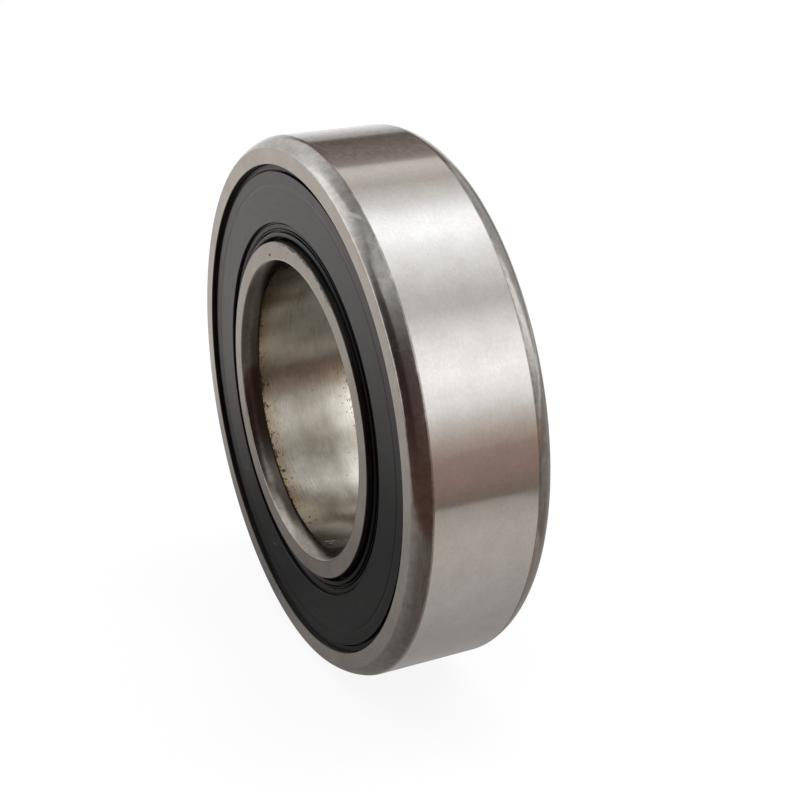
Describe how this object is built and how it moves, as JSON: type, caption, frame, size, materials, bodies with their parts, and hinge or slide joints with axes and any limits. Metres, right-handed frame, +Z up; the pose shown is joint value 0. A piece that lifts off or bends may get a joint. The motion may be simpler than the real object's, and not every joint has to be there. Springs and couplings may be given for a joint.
{
  "type": "sealed deep groove ball bearing",
  "caption": "Sealed single-row ball bearing: ground outer ring, bored inner ring, rubber seals on both sides, balls in a riveted cage.",
  "frame": {"origin": "centre of the bearing, on its axis and midway between the side faces", "axes": "+Y along the bearing axis, from the front side to the rear side; +Z up, so the bearing stands on its rim"},
  "size_m": [0.047, 0.012, 0.047],
  "materials": {
    "outer_ring_steel": "ground bearing steel, fine lines round the rim",
    "inner_ring_steel": "ground bearing steel with light stain at the bore",
    "ball_steel": "lapped and polished",
    "cage_steel": "stamped sheet steel",
    "rivet_steel": "headed steel",
    "insert_steel": "phosphated sheet steel",
    "seal_rubber": "matte moulded nitrile rubber"
  },
  "bodies": {
    "outer_ring": {"outer_ring": "outer_ring_steel", "seal_front_rubber": "seal_rubber", "seal_front_insert": "insert_steel", "seal_rear_rubber": "seal_rubber", "seal_rear_insert": "insert_steel"},
    "inner_ring": {"inner_ring": "inner_ring_steel"},
    "cage": {"cage_half_front": "cage_steel", "cage_half_rear": "cage_steel", "cage_rivet_01": "rivet_steel", "cage_rivet_02": "rivet_steel", "cage_rivet_03": "rivet_steel", "cage_rivet_04": "rivet_steel", "cage_rivet_05": "rivet_steel", "cage_rivet_06": "rivet_steel", "cage_rivet_07": "rivet_steel", "cage_rivet_08": "rivet_steel", "cage_rivet_09": "rivet_steel", "cage_rivet_10": "rivet_steel"},
    "ball_01": {"ball_01": "ball_steel"},
    "ball_02": {"ball_02": "ball_steel"},
    "ball_03": {"ball_03": "ball_steel"},
    "ball_04": {"ball_04": "ball_steel"},
    "ball_05": {"ball_05": "ball_steel"},
    "ball_06": {"ball_06": "ball_steel"},
    "ball_07": {"ball_07": "ball_steel"},
    "ball_08": {"ball_08": "ball_steel"},
    "ball_09": {"ball_09": "ball_steel"},
    "ball_10": {"ball_10": "ball_steel"}
  },
  "joints": [
    {"name": "inner_ring_spin", "type": "hinge", "parent": "outer_ring", "child": "inner_ring", "pos_m": [0, 0, 0], "axis": [0, 1, 0], "continuous": true},
    {"name": "cage_spin", "type": "hinge", "parent": "outer_ring", "child": "cage", "pos_m": [0, 0, 0], "axis": [0, 1, 0], "continuous": true},
    {"name": "ball_01_spin", "type": "hinge", "parent": "cage", "child": "ball_01", "pos_m": [0, 0, 0.018], "axis": [0, 1, 0], "continuous": true},
    {"name": "ball_02_spin", "type": "hinge", "parent": "cage", "child": "ball_02", "pos_m": [-0.01058, 0, 0.01456], "axis": [0, 1, 0], "continuous": true},
    {"name": "ball_03_spin", "type": "hinge", "parent": "cage", "child": "ball_03", "pos_m": [-0.01712, 0, 0.00556], "axis": [0, 1, 0], "continuous": true},
    {"name": "ball_04_spin", "type": "hinge", "parent": "cage", "child": "ball_04", "pos_m": [-0.01712, 0, -0.00556], "axis": [0, 1, 0], "continuous": true},
    {"name": "ball_05_spin", "type": "hinge", "parent": "cage", "child": "ball_05", "pos_m": [-0.01058, 0, -0.01456], "axis": [0, 1, 0], "continuous": true},
    {"name": "ball_06_spin", "type": "hinge", "parent": "cage", "child": "ball_06", "pos_m": [0, 0, -0.018], "axis": [0, 1, 0], "continuous": true},
    {"name": "ball_07_spin", "type": "hinge", "parent": "cage", "child": "ball_07", "pos_m": [0.01058, 0, -0.01456], "axis": [0, 1, 0], "continuous": true},
    {"name": "ball_08_spin", "type": "hinge", "parent": "cage", "child": "ball_08", "pos_m": [0.01712, 0, -0.00556], "axis": [0, 1, 0], "continuous": true},
    {"name": "ball_09_spin", "type": "hinge", "parent": "cage", "child": "ball_09", "pos_m": [0.01712, 0, 0.00556], "axis": [0, 1, 0], "continuous": true},
    {"name": "ball_10_spin", "type": "hinge", "parent": "cage", "child": "ball_10", "pos_m": [0.01058, 0, 0.01456], "axis": [0, 1, 0], "continuous": true}
  ],
  "couplings": [
    {"joint": "cage_spin", "follows": "inner_ring_spin", "ratio": 0.40629},
    {"joint": "ball_01_spin", "follows": "inner_ring_spin", "ratio": -2.5741},
    {"joint": "ball_02_spin", "follows": "inner_ring_spin", "ratio": -2.5741},
    {"joint": "ball_03_spin", "follows": "inner_ring_spin", "ratio": -2.5741},
    {"joint": "ball_04_spin", "follows": "inner_ring_spin", "ratio": -2.5741},
    {"joint": "ball_05_spin", "follows": "inner_ring_spin", "ratio": -2.5741},
    {"joint": "ball_06_spin", "follows": "inner_ring_spin", "ratio": -2.5741},
    {"joint": "ball_07_spin", "follows": "inner_ring_spin", "ratio": -2.5741},
    {"joint": "ball_08_spin", "follows": "inner_ring_spin", "ratio": -2.5741},
    {"joint": "ball_09_spin", "follows": "inner_ring_spin", "ratio": -2.5741},
    {"joint": "ball_10_spin", "follows": "inner_ring_spin", "ratio": -2.5741}
  ]
}
